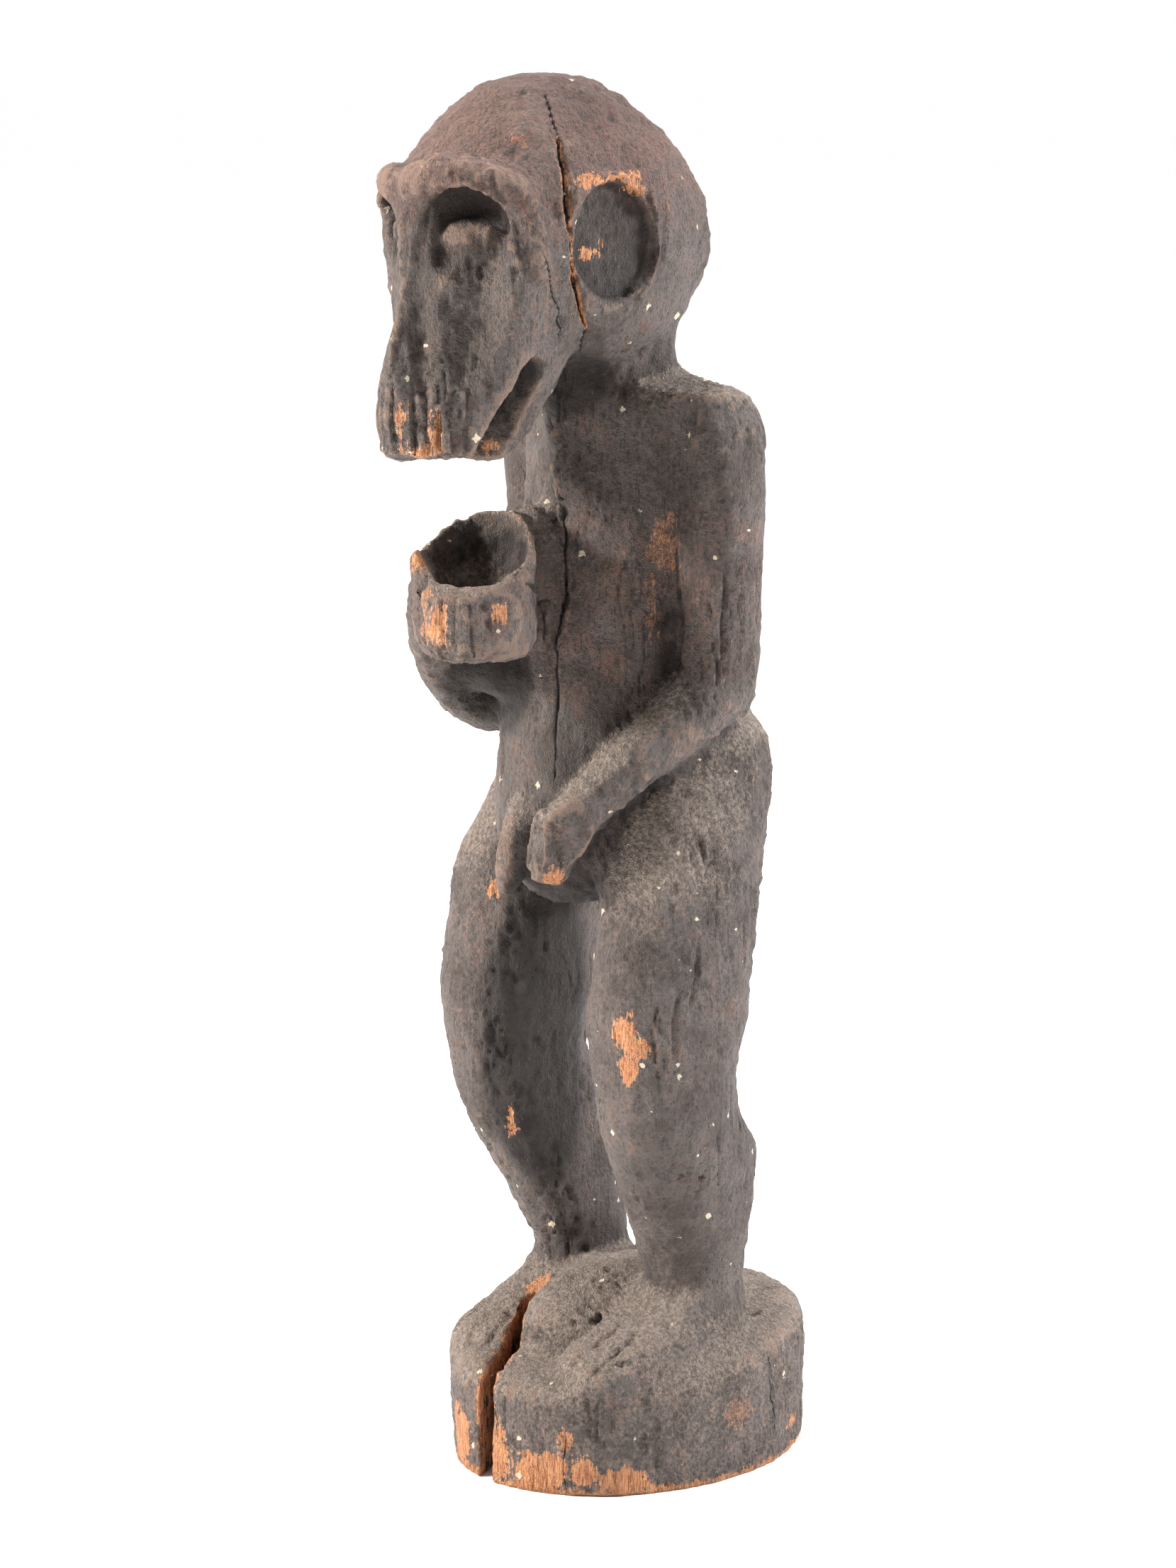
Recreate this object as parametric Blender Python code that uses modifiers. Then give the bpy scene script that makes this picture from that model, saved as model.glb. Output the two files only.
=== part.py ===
"""Carved wooden monkey that stands on a plinth and holds a bowl. It is one solid, cut from one log.

The figure faces -Y and its left side is at +X. The origin is the middle of the plinth's underside.
Everything is in metres. The carving itself is written in parts, 636 of them to the figure's height.
"""

import math
from typing import NamedTuple

import bmesh
import bpy
from mathutils import Matrix, Vector

# The plinth, an oval block whose top falls towards the front
PLINTH_HEIGHT = 0.066
PLINTH_FALL = 0.020
PLINTH_WIDTH = 0.164
PLINTH_DEPTH = 0.196
PLINTH_EDGE = 0.013
PLINTH_TAPER = 0.985

# The figure, from the plinth's top to the crown
FIGURE_HEIGHT = 0.636
PART = FIGURE_HEIGHT / 636

# The bowl in the right hand: a round block with a slanting mouth, its height taken at the middle
BOWL_RADIUS = 0.0295
BOWL_HEIGHT = 0.053
BOWL_WALL = 0.0038
BOWL_DEPTH = 0.024
BOWL_MOUTH_LEAN = Vector((0.32, -0.60, 1.0))

# The split that runs in from the plinth's front, along the grain
SPLIT_WIDTH = 0.008
SPLIT_LENGTH = 0.070
SPLIT_TURN = math.radians(28)

# How fine the carved surface is
COARSE_GRAIN = 3.0 * PART
FINE_GRAIN = 2.0 * PART
FACE_SHARE = 0.032
RING_SIDES = 28
STEPS_BETWEEN = 4


class Slice(NamedTuple):
    """A level outline of an upright form, in parts above the plinth. A wedge has a sharper front."""

    z: float
    x: float
    y: float
    half_width: float
    front: float
    back: float
    squareness: float
    wedge: float = 0.0


class Joint(NamedTuple):
    """A round outline across a limb, in parts above the plinth."""

    x: float
    y: float
    z: float
    across: float
    thick: float


TORSO = (
    Slice(226, 0, -36, 14, 16, 30, 2.0),
    Slice(240, 0, -30, 34, 38, 50, 2.0),
    Slice(262, 0, -28, 47, 44, 52, 2.1),
    Slice(300, 0, -26, 50, 46, 46, 2.1, 0.2),
    Slice(345, 0, -22, 50, 47, 40, 2.1, 0.25),
    Slice(390, 0, -16, 51, 46, 38, 2.1, 0.35),
    Slice(430, 0, -9, 56, 44, 36, 2.0, 0.45),
    Slice(458, 0, -4, 68, 43, 34, 2.1, 0.7),
    Slice(470, 0, -2, 75, 38, 32, 2.6, 0.9),
    Slice(477.5, 0, -2, 73, 31, 29, 3.0, 0.5),
    Slice(483, 0, -3, 60, 28, 27, 2.8),
    Slice(488, 0, -6, 36, 26, 26, 2.4),
)

NECK = (
    Slice(455, 0, -12, 30, 38, 26, 2.2, 0.6),
    Slice(470, 0, -12, 35, 41, 32, 2.2, 0.6),
    Slice(495, 0, -15, 34, 37, 33, 2.1, 0.4),
    Slice(525, 0, -18, 36, 36, 38, 2.0),
    Slice(545, 0, -24, 40, 40, 44, 2.0),
)

CRANIUM = (
    Slice(498, 0, -46, 30, 24, 42, 2.0),
    Slice(508, 0, -48, 44, 40, 62, 2.0),
    Slice(521, 0, -50, 54, 56, 74, 2.0),
    Slice(537, 0, -50, 60, 68, 82, 2.0),
    Slice(553, 0, -50, 63, 76, 85, 2.0),
    Slice(570, 0, -50, 63, 82, 82, 2.0),
    Slice(588, 0, -50, 60, 81, 72, 2.0),
    Slice(605, 0, -50, 52, 70.5, 57, 2.0),
    Slice(619, 0, -51, 41, 54.5, 39, 2.0),
    Slice(630, 0, -53, 28, 36, 21, 2.0),
    Slice(635.4, 0, -58, 12, 14, 9, 2.0),
)

MUZZLE = (
    Slice(454, 0, -130, 28, 20, 31, 4.0, 2.6),
    Slice(463, 0, -127, 32, 27, 40, 4.0, 2.6),
    Slice(480, 0, -117, 37, 38, 41, 3.6, 2.2),
    Slice(496, 0, -109, 43, 41, 44, 3.0, 1.6),
    Slice(515, 0, -106, 48, 39, 50, 2.8, 1.4),
    Slice(536, 0, -108, 51, 35, 54, 2.6, 1.2),
    Slice(560, 0, -104, 52, 37, 52, 2.5, 1.0),
    Slice(580, 0, -100, 50, 40, 44, 2.2, 0.5),
    Slice(592, 0, -96, 44, 38, 40, 2.0, 0.2),
    Slice(603, 0, -90, 32, 30, 30, 2.0, 0.0),
)

LEG = (
    Slice(326, 38, 22, 14, 14, 16, 2.0),
    Slice(312, 40, 14, 30, 32, 30.5, 2.0),
    Slice(290, 43, 6, 34, 41, 41.5, 2.0),
    Slice(262, 49, -7, 34.5, 42.5, 44, 2.0),
    Slice(232, 55, -17, 34.5, 43.5, 43.5, 2.0),
    Slice(190, 56, -24, 35, 43, 43, 2.0),
    Slice(172, 55.5, -25, 35.5, 43.5, 43, 2.1),
    Slice(146, 56.5, -26, 32, 40, 38.5, 2.0),
    Slice(122, 55.5, -23, 32, 38.5, 39, 2.0),
    Slice(101, 54, -15, 32, 39, 45, 2.0),
    Slice(78, 50.5, -6, 29, 36, 38, 2.0),
    Slice(50, 45.5, 2, 24, 30.5, 31, 2.0),
    Slice(30, 43, 6, 22, 26, 27, 2.0),
    Slice(12, 43, 6, 24, 30, 30, 2.0),
)

FOOT = (
    Slice(-14, 42, -20, 29, 60, 56, 2.4),
    Slice(2, 42, -20, 29.5, 51, 54, 2.6),
    Slice(11, 42, -16, 27, 38, 49, 2.4),
    Slice(20, 42, -8, 25, 28, 40, 2.2),
    Slice(28, 43, 0, 24, 25, 33, 2.0),
    Slice(34, 43, 4, 20, 22, 26, 2.0),
)

UPPER_ARM = (
    Joint(61, 0, 478, 14, 16),
    Joint(65, 1, 466, 19, 22),
    Joint(65, 2, 440, 20, 22),
    Joint(65, 2, 400, 19, 21),
    Joint(66, 0, 360, 18, 21),
    Joint(67, -3, 335, 18, 20),
    Joint(66, -4, 322, 13, 14),
)

LEFT_FOREARM = (
    Joint(67, 4, 340, 13, 13),
    Joint(66, -8, 334, 16.5, 17),
    Joint(60, -32, 315, 14, 14.5),
    Joint(50, -54, 297, 12, 13),
    Joint(42, -66, 284, 12, 14),
    Joint(34, -74, 272, 12.5, 17),
    Joint(30, -77, 261, 11, 15),
    Joint(31, -78, 250, 8, 10),
    Joint(33, -78, 243, 4.5, 6),
)

RIGHT_FOREARM = (
    Joint(-67, 6, 335, 12, 12),
    Joint(-66, -10, 326, 17, 17),
    Joint(-60, -38, 321, 15.5, 17),
    Joint(-51, -67, 332, 14, 15),
    Joint(-37, -91, 350, 14, 15),
    Joint(-28, -103, 367, 13, 14),
    Joint(-24, -108, 386, 11, 13),
    Joint(-22, -108, 402, 8, 10),
    Joint(-21, -107, 409, 5, 6),
)

BROW = (
    Joint(0, -139, 582, 10, 10),
    Joint(16, -137, 590, 11, 11),
    Joint(33, -127, 589, 10, 10),
    Joint(45, -112, 580, 9, 9),
    Joint(49, -106, 560, 8, 8),
    Joint(49, -103, 540, 5, 6),
)
RIGHT_BROW = (
    Joint(0, -139, 582, 10, 10),
    Joint(16, -135.5, 585, 10, 10),
    Joint(33, -124, 578, 10, 9),
    Joint(45, -110, 568, 9, 9),
    Joint(49.5, -107.5, 549, 8, 8),
    Joint(49.5, -105, 530, 6, 7),
)

NOSE = (
    Joint(0, -137, 592, 12, 12),
    Joint(0, -137, 575, 8, 9),
    Joint(0, -137, 550, 6.5, 8),
    Joint(0, -138, 530, 7, 9),
    Joint(0, -145, 505, 9, 10),
    Joint(0, -148, 480, 11, 11),
    Joint(0, -146.5, 468, 12, 12),
    Joint(0, -145.5, 458.5, 11, 11),
)

class Ball(NamedTuple):
    """A ball squeezed to three half sizes, in parts above the plinth."""

    x: float
    y: float
    z: float
    half_x: float
    half_y: float
    half_z: float


FACE_TURN = 37
EYE = Ball(24, -120.5, 560, 17, 8.5, 10)
SOCKET = Ball(28, -129, 562, 20, 14, 27)
CHEEK_PLANE = Ball(34.4, -135.7, 528, 21, 14, 46)
EAR = Ball(66, -63, 556, 11, 30, 30)
BOWL_PAD = Ball(-4, -62, 388, 19, 20, 39)
ARM_WEB = Ball(-22, -69, 344, 17, 17, 14)
WEB = Ball(0, 6, 2, 42, 70, 31)
RIGHT_FOOT_DROP = 5


def clear_scene():
    """Removes whatever the file holds."""
    for obj in list(bpy.data.objects):
        bpy.data.objects.remove(obj, do_unlink=True)


def eased(stations):
    """The stations with smooth ones between them, along Catmull-Rom curves."""
    kind = type(stations[0])
    found = []
    last = len(stations) - 1
    for i in range(last):
        before, start = stations[max(i - 1, 0)], stations[i]
        end, after = stations[i + 1], stations[min(i + 2, last)]
        for step in range(STEPS_BETWEEN):
            t = step / STEPS_BETWEEN
            found.append(
                kind(
                    *(
                        b + 0.5 * t * (c - a + t * (2 * a - 5 * b + 4 * c - d + t * (3 * (b - c) + d - a)))
                        for a, b, c, d in zip(before, start, end, after)
                    )
                )
            )
    return found + [stations[last]]


def on_plinth(x, y, z):
    """A point given in parts above the plinth, in metres."""
    return Vector((x * PART, y * PART, PLINTH_HEIGHT + z * PART))


def rounded(value, squareness):
    """Cosine or sine bent towards the corners of a rounded square."""
    return math.copysign(abs(value) ** (2 / squareness), value)


def slice_ring(level, side):
    """The points of a level outline. Side -1 mirrors it to the figure's right."""
    ring = []
    for i in range(RING_SIDES):
        turn = 2 * math.pi * i / RING_SIDES
        across = rounded(math.cos(turn), level.squareness) * level.half_width
        along = rounded(math.sin(turn), level.squareness) * level.back
        if math.sin(turn) < 0:
            across = rounded(math.cos(turn), level.squareness - level.wedge) * level.half_width
            along = rounded(math.sin(turn), level.squareness - level.wedge) * level.front
        ring.append(on_plinth(side * (level.x + across), level.y + along, level.z))
    return ring


def joint_rings(joints, side):
    """Outlines square to a limb's run, one for each joint."""
    centres = [on_plinth(side * j.x, j.y, j.z) for j in joints]
    rings = []
    for i, joint in enumerate(joints):
        along = (centres[min(i + 1, len(joints) - 1)] - centres[max(i - 1, 0)]).normalized()
        across = along.cross(Vector((0, 1, 0) if abs(along.y) < 0.6 else (0, 0, 1))).normalized()
        thick = along.cross(across)
        ring = []
        for k in range(RING_SIDES):
            turn = 2 * math.pi * k / RING_SIDES
            offset = across * math.cos(turn) * joint.across + thick * math.sin(turn) * joint.thick
            ring.append(centres[i] + offset * PART)
        rings.append(ring)
    return rings


def add_loft(bm, rings):
    """Skins a run of rings and closes both ends."""
    rows = [[bm.verts.new(point) for point in ring] for ring in rings]
    for lower, upper in zip(rows, rows[1:]):
        for i, corner in enumerate(lower):
            j = (i + 1) % len(lower)
            bm.faces.new((corner, lower[j], upper[j], upper[i]))
    bm.faces.new(rows[0][::-1])
    bm.faces.new(rows[-1])


def add_upright(bm, slices, side=1):
    """An upright form from its level outlines."""
    add_loft(bm, [slice_ring(level, side) for level in eased(slices)])


def add_limb(bm, joints, side=1):
    """A limb from the outlines along it."""
    add_loft(bm, joint_rings(eased(joints), side))


def add_ball(bm, ball, side=1, turn=0):
    """A squeezed ball, turned about its upright by some degrees. Side -1 mirrors it to the figure's right."""
    place = Matrix.Translation(on_plinth(side * ball.x, ball.y, ball.z))
    place = place @ Matrix.Rotation(side * math.radians(turn), 4, "Z")
    squeeze = Matrix.Diagonal((ball.half_x * PART, ball.half_y * PART, ball.half_z * PART, 1))
    bmesh.ops.create_uvsphere(bm, u_segments=32, v_segments=20, radius=1, matrix=place @ squeeze)


def add_block(bm, centre, sizes, turn=Matrix.Identity(3)):
    """A box in metres about a centre in metres."""
    place = Matrix.Translation(centre) @ turn.to_4x4() @ Matrix.Diagonal((*sizes, 1))
    return bmesh.ops.create_cube(bm, size=1, matrix=place)["verts"]


def new_object(name, bm, collection):
    """Links a mesh object made from a bmesh, with its faces pointing out."""
    bmesh.ops.recalc_face_normals(bm, faces=bm.faces)
    mesh = bpy.data.meshes.new(name)
    bm.to_mesh(mesh)
    bm.free()
    obj = bpy.data.objects.new(name, mesh)
    collection.objects.link(obj)
    return obj


def add_plinth(bm):
    """The oval block under the feet, with a rounded top edge and sides that draw in a little downwards."""
    levels = [(0.0, PLINTH_TAPER), (PLINTH_HEIGHT * 0.5, 1.0), (PLINTH_HEIGHT - PLINTH_EDGE, 1.0)]
    rings = []
    for z, share in levels:
        rings.append((z, PLINTH_WIDTH / 2 * share, PLINTH_DEPTH / 2 * share))
    for step in range(1, 5):
        turn = math.pi / 2 * step / 4
        inset = PLINTH_EDGE * (1 - math.cos(turn))
        z = PLINTH_HEIGHT - PLINTH_EDGE * (1 - math.sin(turn))
        rings.append((z, PLINTH_WIDTH / 2 - inset, PLINTH_DEPTH / 2 - inset))
    rings.insert(0, (-COARSE_GRAIN * 3, rings[0][1], rings[0][2]))
    sides = 2 * RING_SIDES
    outlines = []
    for z, a, b in rings:
        outline = []
        for i in range(sides):
            y = b * math.sin(2 * math.pi * i / sides)
            lift = PLINTH_FALL * y / PLINTH_DEPTH * max(0, z / PLINTH_HEIGHT)
            outline.append(Vector((a * math.cos(2 * math.pi * i / sides), y, z + lift)))
        outlines.append(outline)
    add_loft(bm, outlines)


BOWL_STANDS = Joint(2.5, -103.5, 355, 0, 0)
BOWL_MIDDLE = on_plinth(BOWL_STANDS.x, BOWL_STANDS.y, BOWL_STANDS.z)
BOWL_BOTTOM_EDGE = BOWL_RADIUS * 0.316


def circle(middle, radius, z, lean=Vector((0, 0, 1))):
    """A ring of points about a middle, level or along a slanting plane."""
    ring = []
    for i in range(RING_SIDES):
        turn = 2 * math.pi * i / RING_SIDES
        x, y = radius * math.cos(turn), radius * math.sin(turn)
        ring.append(middle + Vector((x, y, z - (lean.x * x + lean.y * y) / lean.z)))
    return ring


def add_bowl(bm):
    """The bowl's outer block, and the pad that ties it to the chest."""
    add_loft(
        bm,
        [
            circle(BOWL_MIDDLE, BOWL_RADIUS - BOWL_BOTTOM_EDGE * 1.2, 0),
            circle(BOWL_MIDDLE, BOWL_RADIUS - BOWL_BOTTOM_EDGE * 0.4, BOWL_BOTTOM_EDGE * 0.35),
            circle(BOWL_MIDDLE, BOWL_RADIUS, BOWL_BOTTOM_EDGE),
            circle(BOWL_MIDDLE, BOWL_RADIUS, BOWL_HEIGHT, BOWL_MOUTH_LEAN),
        ],
    )
    add_ball(bm, BOWL_PAD)
    add_ball(bm, ARM_WEB)


def add_genitals(bm):
    """The blunt form below the belly."""
    add_limb(
        bm,
        (
            Joint(-2, -64, 282, 9, 9),
            Joint(-2, -72, 268, 9, 10),
            Joint(-2, -77, 254, 8, 9),
            Joint(-3, -79, 240, 6.5, 7.5),
            Joint(-3, -79, 232, 3.5, 4),
        ),
    )


def blank():
    """Every added form in one bmesh, before any hollow is cut."""
    bm = bmesh.new()
    add_plinth(bm)
    add_upright(bm, TORSO)
    add_upright(bm, NECK)
    add_upright(bm, CRANIUM)
    add_upright(bm, MUZZLE)
    add_limb(bm, NOSE)
    for side in (1, -1):
        add_upright(bm, LEG, side)
        sunk = RIGHT_FOOT_DROP if side < 0 else 0
        add_upright(bm, [level._replace(z=level.z - sunk) for level in FOOT], side)
        add_limb(bm, UPPER_ARM, side)
        add_limb(bm, BROW if side > 0 else RIGHT_BROW, side)
    add_limb(bm, LEFT_FOREARM)
    add_limb(bm, RIGHT_FOREARM)
    add_bowl(bm)
    add_genitals(bm)
    add_ball(bm, WEB)
    return bm


# The mouth's slot: its middle at the corner and at the bottom, with half its gap there
MOUTH_CORNER = Joint(0, -100.5, 498, 55, 6.2)
MOUTH_BOTTOM = Joint(0, -127.5, 438, 55, 9.5)


def cut_mouth(bm):
    """A slanting slot between the jaws, wider at the bottom and round at its upper end."""
    top = on_plinth(MOUTH_CORNER.x, MOUTH_CORNER.y, MOUTH_CORNER.z)
    bottom = on_plinth(MOUTH_BOTTOM.x, MOUTH_BOTTOM.y, MOUTH_BOTTOM.z)
    down = (bottom - top).normalized()
    ahead = down.cross(Vector((1, 0, 0))).normalized()
    outline = []
    for step in range(9):
        turn = math.pi * step / 8
        outline.append(top + (ahead * math.cos(turn) - down * math.sin(turn)) * MOUTH_CORNER.thick * PART)
    outline.append(bottom - ahead * MOUTH_BOTTOM.thick * PART)
    outline.append(bottom + ahead * MOUTH_BOTTOM.thick * PART)
    half = Vector((MOUTH_CORNER.across * PART, 0, 0))
    add_loft(bm, [[point - half for point in outline], [point + half for point in outline]])


def cut_eye(bm, side):
    """The deep hollow under the brow."""
    add_ball(bm, SOCKET, side, FACE_TURN)


def cut_cheek(bm, side):
    """The long shallow hollow that leads from the socket down to the lip."""
    add_ball(bm, CHEEK_PLANE, side, FACE_TURN + 3)


def cut_ear(bm, side):
    """The round ear, cut back from the side of the head."""
    turn = Matrix.Rotation(side * math.radians(-6), 4, "Z") @ Matrix.Rotation(math.pi / 2, 4, "Y")
    place = Matrix.Translation(on_plinth(side * EAR.x, EAR.y, EAR.z)) @ turn
    bmesh.ops.create_cone(
        bm,
        cap_ends=True,
        segments=40,
        radius1=EAR.half_y * PART,
        radius2=EAR.half_z * PART,
        depth=EAR.half_x * 2 * PART,
        matrix=place,
    )


def cut_bowl(bm):
    """The hollow of the bowl: an upright bore with a round floor."""
    inner = BOWL_RADIUS - BOWL_WALL
    rings = []
    for step in range(1, 9):
        turn = math.pi / 2 * step / 8
        rings.append(circle(BOWL_MIDDLE, inner * math.sin(turn), BOWL_HEIGHT - BOWL_DEPTH * math.cos(turn)))
    rings.append(circle(BOWL_MIDDLE, inner, BOWL_HEIGHT + BOWL_RADIUS))
    add_loft(bm, rings)


def cut_split(bm):
    """The split: open from top to foot at the front, and shallower the further in it goes."""
    inward = Vector((-math.sin(SPLIT_TURN), math.cos(SPLIT_TURN), 0))
    half = inward.cross(Vector((0, 0, 1))) * SPLIT_WIDTH / 2
    front = Vector((0, -PLINTH_DEPTH / 2, 0))
    below, above = -PLINTH_HEIGHT / 4, PLINTH_HEIGHT * 2
    outline = []
    for share, z in ((-0.2, below), (0.4, below), (0.7, PLINTH_HEIGHT * 0.5), (1, PLINTH_HEIGHT), (1, above),
                     (-0.2, above)):
        outline.append(front + inward * share * SPLIT_LENGTH + Vector((0, 0, z)))
    add_loft(bm, [[point - half for point in outline], [point + half for point in outline]])


def carved(name, bm, collection):
    """A helper object that only cuts."""
    obj = new_object(name, bm, collection)
    obj.hide_render = True
    obj.display_type = "WIRE"
    return obj


def cut(obj, cutter, operation="DIFFERENCE"):
    """Cuts one object by another, or joins it on."""
    modifier = obj.modifiers.new(cutter.name, "BOOLEAN")
    modifier.operation = operation
    modifier.solver = "EXACT"
    modifier.object = cutter
    return modifier


def remesh(obj, name, size):
    """Makes one skin of whatever overlaps."""
    modifier = obj.modifiers.new(name, "REMESH")
    modifier.mode = "VOXEL"
    modifier.voxel_size = size


def soften(obj, name, factor, repeat):
    """Eases the edges where forms meet."""
    modifier = obj.modifiers.new(name, "SMOOTH")
    modifier.factor = factor
    modifier.iterations = repeat


def main():
    """Builds the figure."""
    clear_scene()
    model = bpy.data.collections.new("Carved monkey figure")
    cutters = bpy.data.collections.new("Cutters")
    for collection in (model, cutters):
        bpy.context.scene.collection.children.link(collection)

    figure = new_object("monkey_figure", blank(), model)
    remesh(figure, "One block", COARSE_GRAIN)
    soften(figure, "Ease the joins", 0.5, 4)

    bm = bmesh.new()
    cut_mouth(bm)
    cut(figure, carved("mouth_cutter", bm, cutters))

    bm = bmesh.new()
    for side in (1, -1):
        cut_eye(bm, side)
    cut(figure, carved("eye_cutter", bm, cutters))

    bm = bmesh.new()
    for side in (1, -1):
        cut_cheek(bm, side)
    cut(figure, carved("cheek_cutter", bm, cutters))

    bm = bmesh.new()
    for side in (1, -1):
        add_ball(bm, EYE, side, FACE_TURN)
    cut(figure, carved("eye_mound", bm, cutters), "UNION")

    bm = bmesh.new()
    for side in (1, -1):
        cut_ear(bm, side)
    cut(figure, carved("ear_cutter", bm, cutters))

    bm = bmesh.new()
    cut_bowl(bm)
    cut(figure, carved("bowl_cutter", bm, cutters))

    bm = bmesh.new()
    cut_split(bm)
    cut(figure, carved("split_cutter", bm, cutters))

    remesh(figure, "Fine skin", FINE_GRAIN)
    soften(figure, "Wear", 0.5, 2)
    thin = figure.modifiers.new("Facets", "DECIMATE")
    thin.ratio = FACE_SHARE

    bm = bmesh.new()
    add_block(bm, Vector((0, 0, -0.05)), (1.0, 1.0, 0.1))
    cut(figure, carved("floor_cutter", bm, cutters))

    wood = bpy.data.materials.new("Aged wood")
    wood.use_nodes = True
    shader = wood.node_tree.nodes["Principled BSDF"]
    shader.inputs["Base Color"].default_value = (0.085, 0.062, 0.048, 1)
    shader.inputs["Roughness"].default_value = 0.85
    figure.data.materials.append(wood)


main()
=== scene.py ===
"""Dresses the carved monkey figure: the old wood's relief, cracks, wear and dust over its solid.

The figure faces -Y and stands on Z 0. Places on it are written in millimetres in that same frame.
"""

import itertools
import logging
import math
from dataclasses import dataclass, field, replace
from enum import Enum

import bmesh
import bpy
import numpy as np
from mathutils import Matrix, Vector
from mathutils.bvhtree import BVHTree
from mathutils.kdtree import KDTree


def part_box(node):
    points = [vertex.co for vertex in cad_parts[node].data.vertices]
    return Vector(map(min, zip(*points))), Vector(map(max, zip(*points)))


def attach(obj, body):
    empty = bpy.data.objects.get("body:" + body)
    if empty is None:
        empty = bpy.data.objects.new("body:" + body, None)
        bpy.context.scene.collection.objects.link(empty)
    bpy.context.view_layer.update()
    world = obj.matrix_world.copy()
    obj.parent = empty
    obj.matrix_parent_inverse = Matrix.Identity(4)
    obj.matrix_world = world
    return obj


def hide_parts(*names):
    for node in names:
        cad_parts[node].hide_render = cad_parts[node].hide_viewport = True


MM = 0.001
MM_PER_METRE = 1000
WELD = 1e-6
GOLDEN_TURN = 2.39996
LINE_STEP = 2.2 * MM
LINE_REACH = 12 * MM
LINE_THICKNESS = 7 * MM
FAR = 1.0
WELL_OUTSIDE = -9.0
CELL_SHIFT = 1000.37
CELL_KEYS = np.array([73856093, 19349663, 83492791])
SEED_KEY = 26544357
FIRST_KEY, SECOND_KEY = 1274126177, 2246822519
KEY_BITS = 0xFFFFFFFF
Place = tuple[float, float, float]

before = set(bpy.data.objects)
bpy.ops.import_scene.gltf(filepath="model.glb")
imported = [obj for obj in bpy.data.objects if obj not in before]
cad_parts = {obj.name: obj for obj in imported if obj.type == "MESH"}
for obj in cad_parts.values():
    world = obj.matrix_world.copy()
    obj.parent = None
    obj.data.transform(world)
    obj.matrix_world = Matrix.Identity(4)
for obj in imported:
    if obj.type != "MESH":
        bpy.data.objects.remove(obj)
log = logging.getLogger("monkey")


def tone(code: str) -> tuple[float, float, float, float]:
    """Turns a written colour into the linear values that a socket takes.

    Args:
        code: six hexadecimal digits after a hash sign, as a screen shows the colour.

    Returns:
        Red, green, blue and an alpha of one.
    """
    shares = [int(code[i : i + 2], 16) / 255 for i in (1, 3, 5)]
    red, green, blue = (s / 12.92 if s <= 0.04045 else ((s + 0.055) / 1.055) ** 2.4 for s in shares)
    return red, green, blue, 1.0


def eased(low: float, high: float, values: np.ndarray) -> np.ndarray:
    """Rises smoothly from zero at low to one at high."""
    share = np.clip((values - low) / (high - low), 0, 1)
    return share * share * (3 - 2 * share)


def rough(points: np.ndarray, pitch: Place, seed: int) -> np.ndarray:
    """Smooth noise over cells that may be longer one way than another.

    Args:
        points: places in metres, one per row.
        pitch: the size of a cell in millimetres along X, Y and Z.
        seed: which of many such noises this is.

    Returns:
        A value from -1 to 1 for each place.
    """
    cell = points / (np.array(pitch) * MM) + CELL_SHIFT * (seed + 1)
    low = np.floor(cell).astype(np.int64)
    part = cell - low
    part = part * part * (3 - 2 * part)
    total = np.zeros(len(points))
    for corner in itertools.product((0, 1), repeat=3):
        step = np.array(corner)
        key = (low + step) @ CELL_KEYS + seed * SEED_KEY
        key = ((key ^ (key >> 13)) * FIRST_KEY) & KEY_BITS
        key = ((key ^ (key >> 15)) * SECOND_KEY) & KEY_BITS
        share = np.prod(np.where(step, part, 1 - part), axis=1)
        total += share * ((key >> 8) / 8388607.5 - 1)
    return total


class Relief(Enum):
    """The noises of the relief, each with the size of its cells in millimetres and its seed."""

    HEAVE = ((24, 24, 30), 1)
    SWAY = ((10, 10, 14), 16)
    DISH = ((13, 13, 19), 2)
    FISSURE = ((4.2, 4.2, 26), 3)
    FISSURED = ((20, 20, 40), 4)
    PITTED = ((16, 16, 24), 11)
    LUMP = ((5.5, 5.5, 8), 6)
    FINE = ((2.6, 2.6, 3.6), 7)
    FINEST = ((1.7, 1.7, 2.2), 12)
    RAVELLED = ((9, 9, 30), 13)
    STRAND = ((2.2, 2.2, 18), 14)
    KNOB = ((6.5, 6.5, 6.5), 15)
    BARE_RIM = ((9, 9, 40), 8)
    HIP_DUST = ((26, 26, 26), 17)
    LINE_PATH = ((6, 6, 6), 5)
    LINE_WIDTH = ((5, 5, 5), 9)

    def at(self, points: np.ndarray) -> np.ndarray:
        """This noise at places in metres."""
        return rough(points, *self.value)


def flipped(place: Place) -> Place:
    """The same place or direction on the figure's other side."""
    return -place[0], place[1], place[2]


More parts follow.
